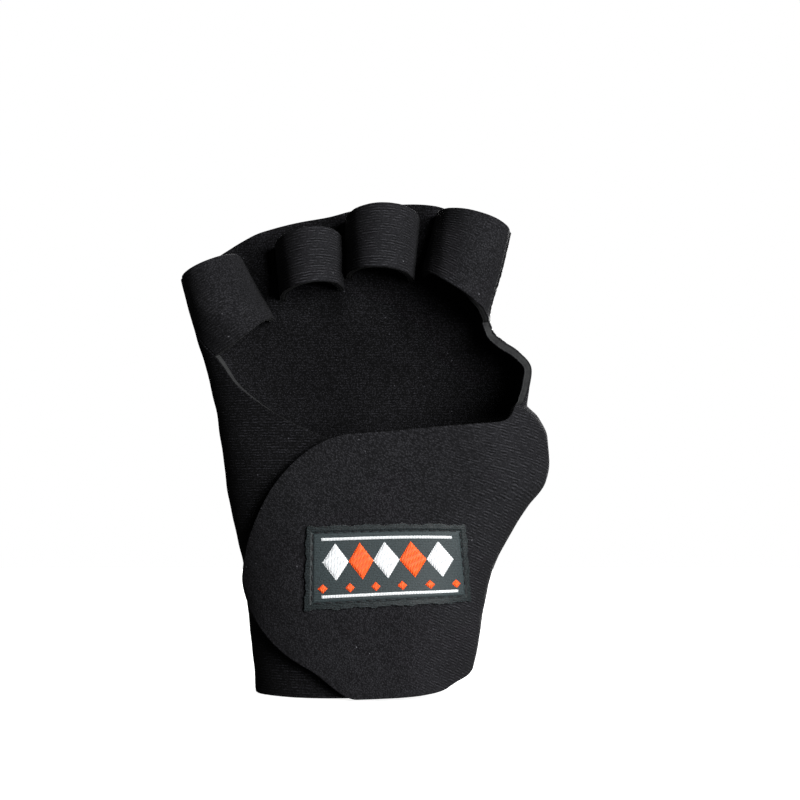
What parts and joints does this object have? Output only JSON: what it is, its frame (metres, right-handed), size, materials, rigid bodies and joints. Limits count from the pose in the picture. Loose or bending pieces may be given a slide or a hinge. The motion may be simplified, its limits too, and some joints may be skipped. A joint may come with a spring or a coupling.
{
  "type": "fitness glove",
  "caption": "Open-backed neoprene fitness glove with finger bands, a thumb opening and a wide wrist strap.",
  "frame": {"origin": "the middle of the wrist opening, level with the lowest hem", "axes": "+Z from the wrist to the fingers, -Y out of the back of the hand, +X towards the thumb side"},
  "size_m": [0.1179, 0.0575, 0.1562],
  "materials": {
    "neoprene": "black jersey on foam",
    "hook_tape": "black hook tape",
    "label_satin": "grey woven satin"
  },
  "bodies": {
    "root": {"palm_sheet": "neoprene", "wrist_strap": "neoprene", "little_finger_band": "neoprene", "ring_finger_band": "neoprene", "middle_finger_band": "neoprene", "index_finger_band": "neoprene", "hook_patch": "hook_tape", "woven_label": "label_satin"}
  },
  "joints": []
}
